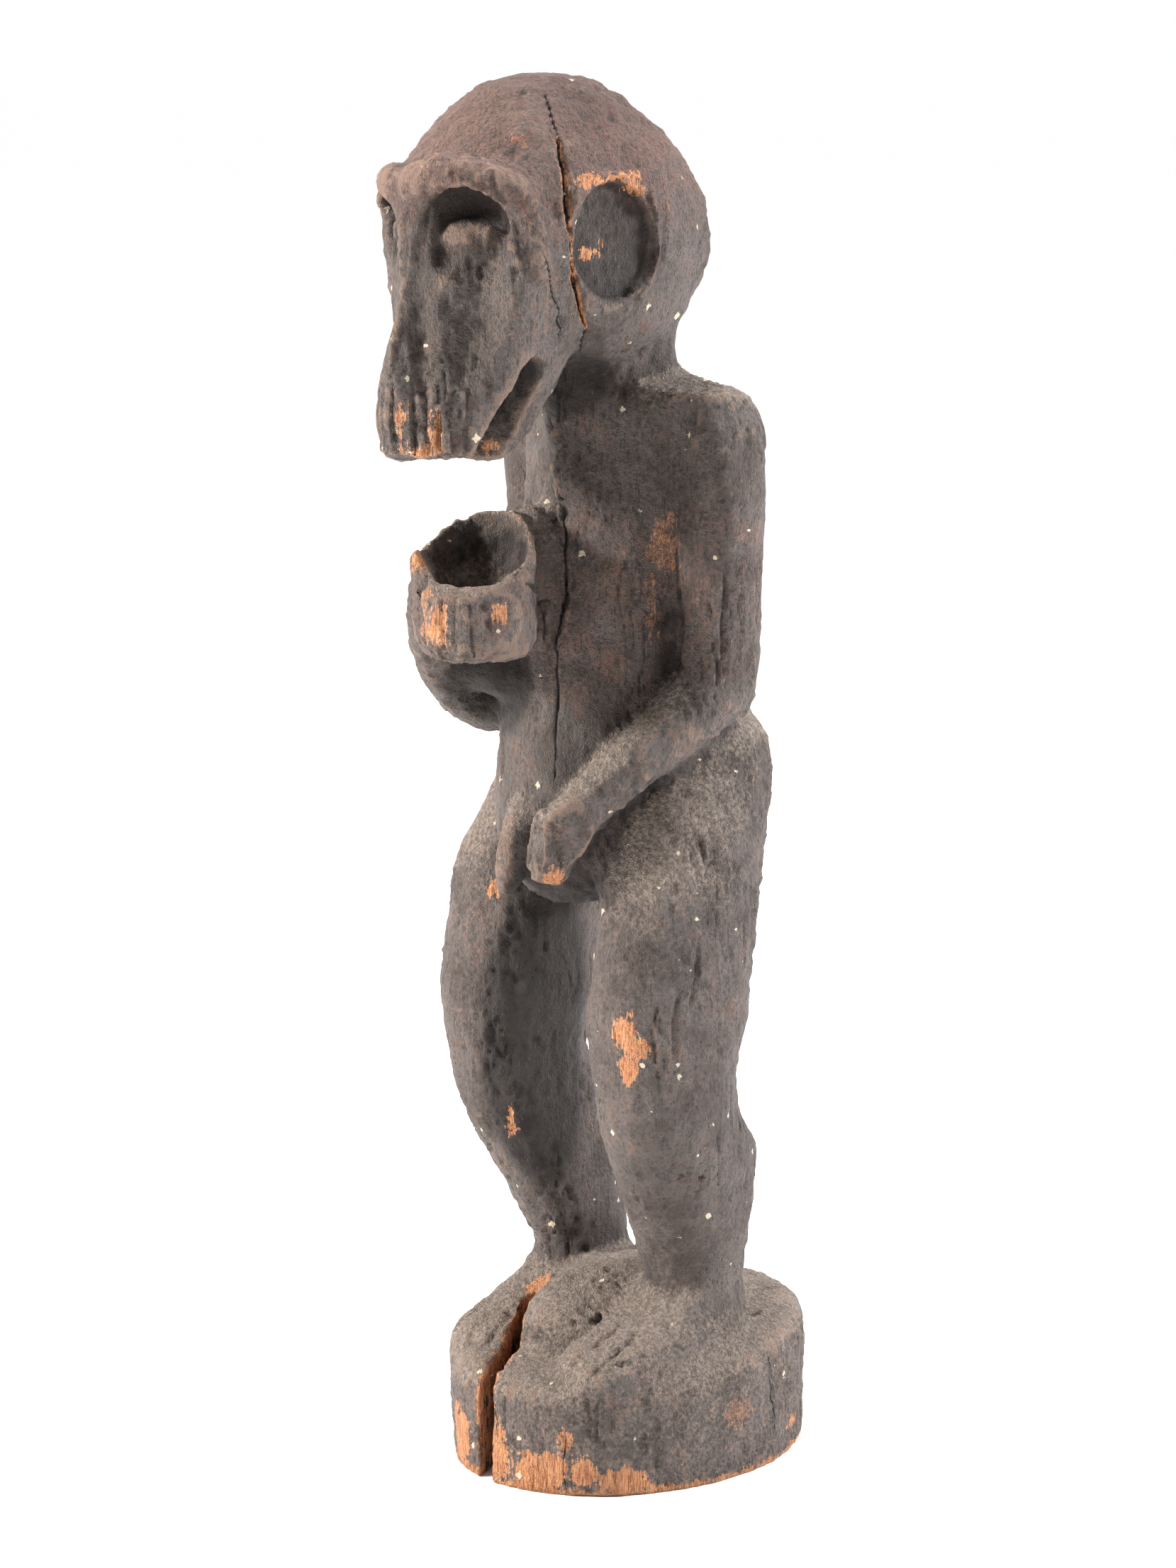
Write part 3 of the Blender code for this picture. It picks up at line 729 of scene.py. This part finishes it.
@dataclass
class CarvedMonkey:
    """The standing monkey, its bowl and its plinth, which are one log. Lengths are in millimetres."""

    name: str = "carved_monkey"
    grain_size: float = 1.5
    triangles: int = 190_000
    unevenness: float = 1.0
    dishing: float = 0.8
    fissures: float = 1.5
    crust: float = 1.25
    smoothings: int = 6
    rays: int = 26
    sight: float = 70
    ray_start: float = 1.5
    split_turn: float = 28
    split_mouth: Place = (0, -98, 0)
    split_half_width: float = 5.2
    split_reach: tuple[float, float] = (-8, 78)
    split_top: float = 95
    finish: AgedWood = AgedWood()
    surface: BVHTree | None = field(default=None, init=False)

    swells: tuple[Swell, ...] = (
        *both(Swell((19, -126, 607), (16, 15, 15), (6.5, -4.5, 0))),
        Swell((36, -118, 604), (12, 12, 10), (1.0, -1.5, 0)),
        *both(Swell((28, -124, 608), (24, 20, 22), passes=60)),
        *both(Swell((44, -92, 592), (16, 26, 22), passes=30)),
        Swell((-14, -122, 466), (15, 13, 14), (-2.5, -2.5, 6.5)),
        Swell((-8, -131, 459), (7, 8, 5), (0, 2.0, -5.0)),
        Swell((17, -131, 452), (9, 7, 5), (0, 1.0, -3.0)),
        Swell((5, -67, 452), (16, 17, 38), (2.2, -4.5, 0), crisp=4),
        Swell((12, -52, 510), (9, 12, 44), (0.5, -3.5, 0)),
        Swell((0, -60, 80), (22, 34, 20), (0, 0, 1.5)),
    )
    facets: tuple[Facet, ...] = (
        *both(Facet((42, -125, 560), (0.86, -0.5, 0.02), (26, 38, 46), 0.5)),
        *both(Facet((62, -9, 550), (0.10, -0.02, 1), (30, 30, 16), 0.85, True)),
        Facet((15, -145, 524), (0.10, -0.15, -1), (34, 30, 12), 0.9, True),
        Facet((14, -148, 540), (0.66, -0.75, 0.04), (17, 17, 26), 0.85, True),
        *both(Facet((52, -61, 624), (1, -0.1, 0), (14, 25, 31), 0.95, False, 24)),
        Facet((43, -83, 338), (0.80, -0.52, -0.28), (16, 20, 24), 0.85, True, 8),
        Facet((26, -88, 330), (-0.15, -0.98, 0.12), (14, 14, 24), 0.8, True, 8),
        Facet((30, -112, 444), (0.86, -0.50, 0.02), (12, 17, 17), 0.6, True, 5),
        Facet((14, -130, 443), (0.42, -0.90, 0.04), (13, 13, 17), 0.55, True, 5),
        Facet((-6, -133, 443), (-0.2, -0.98, 0.04), (13, 13, 17), 0.5, True, 5),
        Facet((28, -90, 447), (0.92, 0.38, 0), (10, 14, 17), 0.6, True, 5),
        *both(Facet((84, -2, 480), (1, 0.05, 0.02), (14, 22, 60), 0.5)),
    )
    grooves: tuple[Line, ...] = (
        *both(Line(((57, -86, 640), (57, -84, 650), (57, -72, 656), (57, -56, 653), (58, -42, 640),
                    (58, -36, 620), (57, -42, 604), (55, -56, 595)), 5, 1.4, Cut.RIDGE)),
        Line(((25, -42, 84), (25, -50, 79), (21, -58, 71), (15, -65, 62)), 6, 2.6, Cut.GROOVE, 0.8),
        Line(((40, -42, 83), (42, -52, 78), (40, -64, 72), (36, -73, 64)), 6, 2.6, Cut.GROOVE, 0.8),
        Line(((54, -44, 80), (55, -55, 75), (54, -66, 69), (51, -73, 62)), 6, 2.6, Cut.GROOVE, 0.8),
        Line(((-29, -50, 82), (-28, -64, 74), (-27, -74, 62)), 4.5, 1.6),
        Line(((-42, -50, 84), (-43, -66, 74), (-43, -76, 62)), 4.5, 1.6),
        Line(((-55, -46, 82), (-58, -60, 74), (-59, -70, 64)), 4.5, 1.6),
        Line(((19, -69, 352), (30, -80, 347), (42, -89, 341), (44, -86, 330), (40, -80, 318)), 4, 1.3),
        *both(Line(((57, -19, 500), (54, -18, 463), (57, -18, 429), (56, -20, 405)), 5, 1.0)),
        Line(((58, -42, 648), (59, -37, 636), (59, -36, 622), (58, -39, 606), (56, -46, 596)),
             5, 2.2, Cut.RIDGE),
        Line(((11, -139, 640), (8, -141, 622), (7, -142, 605), (8, -143, 588), (11, -146, 570),
              (15, -146, 552)), 13, 1.7),
        Line(((1, -146, 640), (-1, -144, 628), (-1, -144, 611), (0, -147, 595), (1, -152, 579),
              (2, -156, 561)), 6, 1.8, Cut.RIDGE, 1.0),
        Line(((33, -139, 655), (40, -131, 648), (45, -122, 638), (46, -117, 625), (48, -114, 612),
              (49, -112, 604)), 5, 1.8, Cut.RIDGE, 0.6),
        Line(((30, -97, 461), (19, -80, 452), (14, -70, 440), (15, -70, 424)), 4, 2.4),
        Line(((10, -60, 484), (17, -58, 466), (20, -58, 448), (18, -61, 430), (10, -67, 417)),
             4.5, 1.8, Cut.RIDGE),
        Line(((2, -50, 536), (4, -51, 522), (2, -52, 510), (7, -52, 498), (11, -56, 486)),
             7, 3.2, Cut.RIDGE, 2.0),
        Line(((0, -158, 560), (-1, -158, 542), (0, -157, 523)), 3, 1.6),
        Line(((17, -147, 560), (17, -146, 542), (17, -145, 522)), 2.4, 1.6),
        Line(((25, -138, 556), (24, -137, 540), (24, -136, 522)), 2.4, 1.4),
        Line(((10, -131, 456), (11, -132, 440), (11, -130, 424)), 2.4, 1.4),
        Line(((22, -124, 452), (23, -124, 436), (23, -122, 424)), 2.2, 1.3),
        Line(((49, 55, 72), (58, 34, 72), (67, 6, 74), (69, -6, 75), (66, -30, 74), (63, -50, 72),
              (56, -69, 65)), 5, 1.8, Cut.RIDGE, 1.5),
        Line(((-6, -158, 556), (-6, -158, 538), (-7, -156, 524)), 4, 1.6),
        Line(((5, -157, 560), (5, -157, 540), (6, -155, 523)), 3.5, 1.8),
        Line(((14, -152, 562), (13, -151, 542), (13, -149, 523)), 4, 1.8),
        Line(((22, -143, 560), (21, -142, 540), (20, -141, 523)), 4, 1.6),
        Line(((30, -132, 556), (28, -131, 538), (27, -130, 524)), 4, 1.4),
        Line(((-16, -150, 560), (-15, -149, 540), (-15, -148, 523)), 4, 1.6),
        Line(((-25, -138, 558), (-24, -138, 540), (-23, -137, 523)), 4, 1.6),
    )
    cracks: tuple[Line, ...] = (
        Line(((25, -78, 693), (32, -82, 686), (40, -85, 677), (44, -86, 671)), 0.9, 2.0, Cut.CRACK, 0.5),
        Line(((43, -86, 673), (47, -88, 665), (51, -89, 658), (54, -90, 638), (53, -86, 625)), 3.4, 6.0,
             Cut.SPLIT, 0.35),
        Line(((53, -87, 629), (53, -85, 615), (52, -83, 605), (49, -77, 591), (46, -71, 582)), 2.2, 4.5,
             Cut.SPLIT, 0.45),
        Line(((46, -71, 583), (38, -67, 575), (32, -62, 568)), 1.0, 2.0, Cut.CRACK, 0.5),
        Line(((57, -108, 622), (54, -101, 610), (49, -94, 600), (46, -89, 587), (44, -88, 574)), 1.0, 1.6,
             Cut.CRACK, 1.2),
        Line(((8, -48, 502), (14, -56, 470), (15, -57, 449), (14, -59, 439), (16, -60, 414), (18, -64, 394),
              (20, -67, 366), (20, -68, 352)), 1.3, 2.0, Cut.CRACK, 0.9),
        Line(((44, -82, 32), (43, -83, 16), (43, -81, 2)), 0.9, 1.2, Cut.CRACK, 0.8),
        Line(((4, -96, 48), (6, -97, 36), (8, -97, 28)), 0.9, 1.2, Cut.CRACK, 0.8),
        Line(((79, 24, 60), (78, 28, 36), (77, 30, 8)), 0.9, 1.2, Cut.CRACK, 0.8),
        Line(((-30, 24, 500), (-28, 30, 460), (-31, 28, 415), (-27, 24, 370)), 1.6, 2.6, Cut.CRACK, 1.2),
        Line(((-40, 20, 668), (-44, 22, 640), (-42, 28, 612)), 1.5, 2.4, Cut.CRACK, 1.0),
        Line(((-60, 70, 62), (-62, 70, 30), (-61, 68, 4)), 1.8, 3.0, Cut.SPLIT, 0.8),
    )
    # Places of painted shade, among them the eye sockets, the ear floor, under the jaw, under the bowl,
    # between the legs, the torso's far plane and the crown. Below zero they take painted occlusion shade
    # away, as in the bowl and the near socket.
    shades: tuple[Shade, ...] = (
        Shade((54, -62, 622), (18, 30, 36), 0.75),
        Shade((18, -118, 643), (15, 26, 14), 0.5),
        Shade((-17, -120, 630), (12, 30, 40), 0.8),
        Shade((38, -104, 542), (12, 22, 36), 0.1),
        Shade((44, -30, 440), (20, 24, 110), 0.15),
        Shade((34, -56, 372), (40, 40, 34), 0.6),
        Shade((20, -62, 552), (40, 34, 22), 0.75),
        Shade((-18, -76, 404), (28, 30, 34), 1.3),
        Shade((-46, -50, 400), (34, 44, 20), 0.5),
        Shade((26, -124, 604), (26, 20, 20), -0.9),
        Shade((10, -140, 610), (9, 12, 50), 0.3),
        Shade((2, -106, 470), (30, 30, 30), -0.85),
        Shade((-26, -40, 210), (30, 40, 110), 1.1),
        Shade((14, -62, 300), (34, 40, 24), 0.7),
        Shade((66, -20, 180), (34, 60, 60), 0.25),
        Shade((10, -40, 694), (64, 76, 46), 0.35),
    )
    patches: tuple[Patch, ...] = (
        Patch((35, -103, 671), (4, 4, 3), 0.45),
        Patch((52, -112, 634), (3, 3, 8), 0.3),
        Patch((54, -98, 632), (3, 2.5, 9), 0.3),
        Patch((52, -96, 600), (3, 3, 8), 0.3),
        Patch((47, -97, 588), (4, 4, 6), 0.3),
        Patch((57, -78, 653), (4, 9, 3)),
        Patch((57, -62, 654), (4, 9, 2.5)),
        Patch((58, -50, 648), (4, 4, 3)),
        Patch((53, -74, 618), (5, 7, 2.5)),
        Patch((53, -66, 622), (5, 2.5, 4)),
        Patch((8, -156, 534), (2, 5, 10)),
        Patch((20, -143, 532), (2.5, 5, 9)),
        Patch((15, -147, 525), (4, 5, 3)),
        Patch((18, -110, 526), (6, 4, 4)),
        Patch((8, -131, 440), (6, 4, 11)),
        Patch((-13, -124, 470), (6, 5, 6)),
        Patch((0, -133, 448), (4, 4, 14), 0.6),
        Patch((30, -111, 448), (4, 4, 5)),
        Patch((50, -22, 474), (8, 7, 13), 0.5),
        Patch((33, -46, 464), (6, 5, 12), 0.2),
        Patch((40, -41, 454), (6, 5, 9), 0.25),
        Patch((48, -29, 440), (3, 4, 14), 0.45),
        Patch((40, -47, 414), (9, 6, 7), 0.25),
        Patch((26, -59, 401), (8, 5, 7), 0.25),
        Patch((36, -82, 310), (5, 6, 10)),
        Patch((69, -65, 240), (8, 5, 8)),
        Patch((74, -62, 232), (6, 5, 5)),
        Patch((69, -64, 222), (5, 5, 8)),
        Patch((-36, -47, 172), (2, 3, 8)),
        Patch((-40, -57, 294), (3, 3, 5)),
        Patch((-26, -92, 18), (12, 8, 16)),
        Patch((8, -97, 16), (8, 5, 18)),
        Patch((32, -88, 10), (16, 10, 12)),
        Patch((49, -76, 12), (8, 6, 9)),
        Patch((63, -60, 8), (12, 12, 7)),
        Patch((44, -82, 30), (4, 4, 5)),
        Patch((82, 0, 34), (5, 11, 8), 0.45),
        Patch((69, 53, 15), (5, 8, 4)),
        Patch((-70, -40, 12), (10, 16, 9)),
        Patch((-50, 76, 10), (16, 8, 7)),
        Patch((20, 96, 40), (12, 5, 8)),
        Patch((-66, 20, 320), (5, 8, 9), 0.45),
        Patch((-84, 4, 452), (4, 6, 9), 0.45),
        Patch((14, 38, 330), (9, 5, 6), 0.45),
    )
    flecks: tuple[Place, ...] = (
        (8, -123, 669), (35, -108, 666), (16, -147, 594), (8, -152, 547), (24, -134, 616), (20, -138, 636),
    )

    def build(self) -> bpy.types.Object:
        """Makes the figure's mesh over its solid.

        Returns:
            The finished piece, dressed and riding on the frame.
        """
        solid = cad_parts["monkey_figure"]
        piece = self.blank(solid)
        clay = Clay(piece.data)
        self.shape(clay)
        self.age(clay)
        clay.settle()
        self.thin(piece)
        clay = Clay(piece.data)
        self.fit(clay)
        self.weather(clay, solid)
        piece.data.materials.clear()
        piece.data.materials.append(self.finish.mixed())
        piece.data.shade_smooth()
        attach(piece, "root")
        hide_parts("monkey_figure")
        log.info("%s has %d triangles", self.name, len(piece.data.polygons))
        return piece

    def blank(self, solid: bpy.types.Object) -> bpy.types.Object:
        """Copies the solid and gives the copy an even, fine skin."""
        bm = bmesh.new()
        bm.from_mesh(solid.data)
        bmesh.ops.remove_doubles(bm, verts=bm.verts, dist=WELD)
        mesh = bpy.data.meshes.new(self.name)
        bm.to_mesh(mesh)
        bm.free()
        piece = bpy.data.objects.new(self.name, mesh)
        bpy.context.scene.collection.objects.link(piece)
        remesh = piece.modifiers.new("Skin", "REMESH")
        remesh.mode = "VOXEL"
        remesh.voxel_size = self.grain_size * MM
        smooth = piece.modifiers.new("Facets off", "SMOOTH")
        smooth.factor = 0.5
        smooth.iterations = self.smoothings
        self.apply(piece)
        return piece

    def apply(self, piece: bpy.types.Object) -> None:
        """Makes the piece's modifiers part of its mesh."""
        graph = bpy.context.evaluated_depsgraph_get()
        mesh = bpy.data.meshes.new_from_object(piece.evaluated_get(graph))
        piece.modifiers.clear()
        piece.data = mesh

    def thin(self, piece: bpy.types.Object) -> None:
        """Takes faces out where the surface is plain, and leaves triangles."""
        faces = sum(len(face.vertices) - 2 for face in piece.data.polygons)
        thinner = piece.modifiers.new("Thinner", "DECIMATE")
        thinner.ratio = min(1.0, self.triangles / faces)
        piece.modifiers.new("Triangles", "TRIANGULATE")
        self.apply(piece)

    def shape(self, clay: Clay) -> None:
        """Works the forms that are finer than the solid's."""
        for work in (*self.swells, *self.facets):
            work.work(clay)
        clay.settle()
        faces = [tuple(face.vertices) for face in clay.mesh.polygons]
        self.surface = BVHTree.FromPolygons(clay.points.tolist(), faces)
        for groove in self.grooves:
            groove.carve(clay, self.surface)
        clay.settle()

    def age(self, clay: Clay) -> None:
        """Roughens the surface: tool marks, worn lumps, splits along the grain, crust and cracks."""
        points = clay.points.copy()
        height = points[:, 2] / MM
        on_head = eased(550, 590, height)
        lift = self.unevenness * Relief.HEAVE.at(points) + 0.5 * Relief.SWAY.at(points)
        dished = np.abs(Relief.DISH.at(points))
        lift += self.dishing * (1 - np.minimum(dished * 2.4, 1)) * 0.6
        fissure = np.abs(Relief.FISSURE.at(points))
        where = eased(-0.1, 0.5, Relief.FISSURED.at(points))
        lift -= self.fissures * (1 - np.minimum(fissure / 0.13, 1)) * where * (1 - 0.75 * on_head)
        pitted = 0.45 + 0.55 * eased(-0.3, 0.4, Relief.PITTED.at(points))
        lumps = 1 - 2.2 * np.abs(Relief.LUMP.at(points))
        fine = Relief.FINE.at(points) + 0.6 * Relief.FINEST.at(points)
        lift += self.crust * pitted * (0.45 * lumps + 0.6 * fine - 0.2)
        strands = np.minimum(np.abs(Relief.STRAND.at(points)) * 3, 1)
        ravel = eased(0.0, 0.5, Relief.RAVELLED.at(points)) * strands
        lift -= 0.5 * self.crust * ravel * (1 - 0.7 * on_head)
        lift += 0.6 * self.crust * on_head * Relief.KNOB.at(points)
        fade = eased(0.0, 2.0, height)
        clay.points += clay.normals * (lift * fade * MM)[:, None]
        clay.settle()
        for crack in self.cracks:
            crack.carve(clay, self.surface)

    def fit(self, clay: Clay) -> None:
        """Keeps the piece within its solid's box."""
        low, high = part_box("monkey_figure")
        clay.points = np.clip(clay.points, np.array(low), np.array(high))
        clay.settle()

    def shelter(self, clay: Clay, solid: bpy.types.Object) -> np.ndarray:
        """How far the solid closes in round each place: the occlusion that is painted as shade.

        Args:
            clay: the surface that wants to know.
            solid: the solid that does the closing in.

        Returns:
            Zero in the open to one in a deep recess, for each vertex.
        """
        bm = bmesh.new()
        bm.from_mesh(solid.data)
        bmesh.ops.remove_doubles(bm, verts=bm.verts, dist=WELD)
        bm.normal_update()
        tree = BVHTree.FromBMesh(bm)
        rays = []
        for i in range(self.rays):
            turn = (i + 0.5) * GOLDEN_TURN
            rise = 1 - (i + 0.5) / self.rays
            flat = Vector((math.cos(turn), math.sin(turn), 0)) * math.sqrt(1 - rise**2)
            rays.append(flat + Vector((0, 0, rise)))
        places = KDTree(len(bm.verts))
        occlusion_shade = np.zeros(len(bm.verts))
        for row, vert in enumerate(bm.verts):
            turn = vert.normal.to_track_quat("Z", "X")
            start = vert.co + vert.normal * self.ray_start * MM
            hits = sum(tree.ray_cast(start, turn @ ray, self.sight * MM)[0] is not None for ray in rays)
            occlusion_shade[row] = hits / len(rays)
            places.insert(vert.co, row)
        places.balance()
        bm.free()
        values = np.empty(len(clay.points))
        for row, point in enumerate(clay.points):
            found = places.find_n(point, 3)
            weights = [1 / (distance + 1e-4) for _, _, distance in found]
            values[row] = sum(occlusion_shade[i] * w for (_, i, _), w in zip(found, weights)) / sum(weights)
        return clay.spread(values, 4)

    def weather(self, clay: Clay, solid: bpy.types.Object) -> None:
        """Leaves on the surface where shade is painted, and where it is dusty, worn with painted highlights
        on its ridges, bare, cracked and flecked.
        """
        points = clay.points
        height = points[:, 2] / MM
        facing = clay.spread(clay.normals, 6)[:, 2]
        proud, fine = self.standing_out(clay, 26), self.standing_out(clay, 5)
        # Occlusion from the solid, painted below as shade in recesses.
        occlusion_shade = self.shelter(clay, solid)
        # The shade places paint shade by their share; below zero they ease the painted occlusion shade.
        shaded = np.zeros(len(points))
        for shade in self.shades:
            near = np.minimum(clay.within(shade.middle, shade.radii) * 3, 1)
            occlusion_shade *= 1 + min(shade.share, 0) * near
            shaded += max(shade.share, 0) * near
        dust = eased(0.05, 0.85, facing) * (1 - 0.9 * eased(560, 640, height)) + 0.45 * eased(110, 60, height)
        on_hips = eased(400, 345, height) * eased(190, 345, height + 25 * Relief.HIP_DUST.at(points))
        dust += 0.5 * on_hips * eased(-0.3, 0.5, facing)
        # Less dust where occlusion and the strongest shade places are, so that the painted shade stays dark.
        dust -= 0.4 * eased(0.45, 0.8, occlusion_shade) + np.maximum(shaded - 0.8, 0)
        ruddy = eased(590, 670, height) + 0.5 * eased(380, 420, height) * eased(520, 480, height)
        ruddy += 0.4 * eased(75, 55, height)
        # Worn is partly real rubbing on broad edges and partly a painted highlight on ridges and fine bumps,
        # which lifts the relief.
        worn = 0.7 * eased(1.1, 2.4, proud) + 0.7 * eased(0.5, 2.0, fine)
        bare, fresh = self.bared(clay)
        marks = {
            # Painted shade: from occlusion, from fine pits, and from the shade places.
            "dark": eased(0.22, 0.7, occlusion_shade) + 0.55 * eased(0.2, 2.2, -fine) + shaded,
            "dust": dust,
            "worn": worn * (1 - np.minimum(shaded, 1)),
            "bare": bare,
            "fleck": self.flecked(points),
            "fresh": fresh,
            "occlusion_shade": occlusion_shade,
            "ruddy": ruddy,
        }
        for name, values in marks.items():
            layer = clay.mesh.attributes.new(name, "FLOAT", "POINT")
            layer.data.foreach_set("value", values.astype(np.float32))
        layer = clay.mesh.attributes.new("crack", "FLOAT_VECTOR", "POINT")
        layer.data.foreach_set("vector", self.cracked(clay).astype(np.float32).ravel())

    def standing_out(self, clay: Clay, passes: int) -> np.ndarray:
        """How far each place stands out of the surface evened in a number of passes, over its spread."""
        out = ((clay.points - clay.spread(clay.points, passes)) * clay.normals).sum(1)
        return out / out.std()

    def bared(self, clay: Clay) -> tuple[np.ndarray, np.ndarray]:
        """How far each place is inside bare wood, in millimetres, and how fresh the wood is."""
        points = clay.points
        bare = np.full(len(points), WELL_OUTSIDE)
        fresh = np.full(len(points), 0.8)
        for patch in self.patches:
            reach = patch.reach(clay)
            fresh = np.where(reach > bare, patch.fresh, fresh)
            bare = np.maximum(bare, reach)
        rim = 3.5 - points[:, 2] / MM + 2 * Relief.BARE_RIM.at(points)
        bare = np.maximum(bare, np.maximum(rim, WELL_OUTSIDE))
        return np.maximum(bare, self.split_walls(points)), fresh

    def flecked(self, points: np.ndarray) -> np.ndarray:
        """How far each place is inside a placed fleck, in millimetres."""
        fleck = np.full(len(points), WELL_OUTSIDE)
        for spot in self.flecks:
            fleck = np.maximum(fleck, 1.2 - np.linalg.norm(points / MM - np.array(spot), axis=1))
        return fleck

    def cracked(self, clay: Clay) -> np.ndarray:
        """How far aside of the nearest crack each place is, the crack's half width, and its kind."""
        crack = np.tile((9.0, 0.0, -3.0), (len(clay.points), 1))
        for line in self.cracks:
            rows, offset, half = line.across(clay, line.laid(self.surface))
            nearer = np.abs(offset) / MM < np.abs(crack[rows, 0])
            found = np.column_stack((offset / MM, half / MM, np.full(len(rows), line.cut.value)))
            crack[rows[nearer]] = found[nearer]
        return crack

    def split_walls(self, points: np.ndarray) -> np.ndarray:
        """Where the plinth's split shows clean wood on its walls, in millimetres inside the edge."""
        turn = math.radians(self.split_turn)
        inward = np.array((-math.sin(turn), math.cos(turn), 0))
        aside = np.array((inward[1], -inward[0], 0))
        apart = points / MM - np.array(self.split_mouth)
        along, off = apart @ inward, apart @ aside
        start, end = self.split_reach
        inside = np.minimum(self.split_half_width - np.abs(off), np.minimum(along - start, end - along))
        return np.where(points[:, 2] < self.split_top * MM, np.minimum(inside, 3), WELL_OUTSIDE)


@dataclass(frozen=True)
class Lamp:
    """A soft square light. Its place and the side of its square are in metres, its power in watts."""

    name: str
    place: Place
    side: float
    power: float
    colour: Place

    def hang(self, target: Place) -> None:
        """Hangs the light so that it looks at a place."""
        lamp = bpy.data.lights.new(self.name, "AREA")
        lamp.size = self.side
        lamp.energy = self.power
        lamp.color = self.colour
        holder = bpy.data.objects.new(self.name, lamp)
        holder.location = self.place
        holder.rotation_euler = (Vector(target) - Vector(self.place)).to_track_quat("-Z", "Y").to_euler()
        bpy.context.scene.collection.objects.link(holder)


@dataclass
class Studio:
    """A plain pale floor, soft lights and the camera."""

    floor_radius: float = 120.0
    floor_sides: int = 96
    floor_tone: float = 0.9
    front: float = 0.22
    back: float = 1.8
    middle: Place = (0, 0, 0.35)
    eye: Place = (1.6210, -1.4876, 0.76)
    look: Place = (-0.7303, 0.6576, -0.1850)
    lens: float = 101.85
    sensor_width: float = 36
    sight: float = 400
    lamps: tuple[Lamp, ...] = (
        Lamp("Left wall", (-1.15, -1.75, 1.25), 0.4, 150, (1.0, 0.98, 0.95)),
        Lamp("Right wall", (1.45, 1.55, 1.2), 0.45, 120, (0.93, 0.96, 1.0)),
        Lamp("Ceiling", (-0.2, 0.0, 2.3), 0.5, 62, (1.0, 0.99, 0.97)),
    )

    def build(self) -> None:
        """Sets the whole studio up."""
        self.floor()
        for lamp in self.lamps:
            lamp.hang(self.middle)
        self.surroundings()
        bpy.context.scene.view_settings.view_transform = "Standard"
        self.camera()

    def surroundings(self) -> None:
        """Lights the room: a white horizon, and above it less light in front of the figure than behind."""
        world = bpy.data.worlds.new("Studio")
        world.use_nodes = True
        tree = world.node_tree
        outlook = tree.nodes.new("ShaderNodeTexCoord").outputs["Generated"]
        ahead = tree.nodes.new("ShaderNodeVectorMath")
        ahead.operation = "DOT_PRODUCT"
        ahead.inputs[1].default_value = Vector((self.look[0], self.look[1], 0)).normalized()
        tree.links.new(outlook, ahead.inputs[0])
        upward = tree.nodes.new("ShaderNodeSeparateXYZ")
        tree.links.new(outlook, upward.inputs[0])
        behind = Wire(tree, ahead.outputs["Value"]).rise(-0.6, 0.5)
        horizon = Wire(tree, upward.outputs["Z"]).rise(0.22, 0.1)
        strength = behind.most(horizon) * (self.back - self.front) + self.front
        tree.links.new(strength.socket, tree.nodes["Background"].inputs["Strength"])
        tree.nodes["Background"].inputs["Color"].default_value = (1, 1, 1, 1)
        bpy.context.scene.world = world

    def floor(self) -> None:
        """Lays the floor."""
        bm = bmesh.new()
        bmesh.ops.create_circle(bm, cap_ends=True, segments=self.floor_sides, radius=self.floor_radius)
        mesh = bpy.data.meshes.new("Floor")
        bm.to_mesh(mesh)
        bm.free()
        floor = bpy.data.objects.new("Floor", mesh)
        bpy.context.scene.collection.objects.link(floor)
        bench = Bench("Floor paper")
        bench.feed(bench.shader.inputs["Base Color"], (self.floor_tone, self.floor_tone, self.floor_tone, 1))
        bench.feed(bench.shader.inputs["Roughness"], 0.9)
        bench.feed(bench.shader.inputs["Specular IOR Level"], 0.1)
        mesh.materials.append(bench.material)

    def camera(self) -> None:
        """Sets the camera where the photograph was taken from."""
        lens = bpy.data.cameras.new("Camera")
        lens.lens = self.lens
        lens.sensor_width = self.sensor_width
        lens.clip_end = self.sight
        holder = bpy.data.objects.new("Camera", lens)
        holder.location = self.eye
        holder.rotation_euler = Vector(self.look).to_track_quat("-Z", "Y").to_euler()
        bpy.context.scene.collection.objects.link(holder)
        bpy.context.scene.camera = holder


def main() -> None:
    """Builds the figure and the studio."""
    logging.basicConfig(level=logging.INFO, format="%(message)s")
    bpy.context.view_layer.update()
    Studio().build()
    CarvedMonkey().build()


if __name__ == "__main__":
    main()
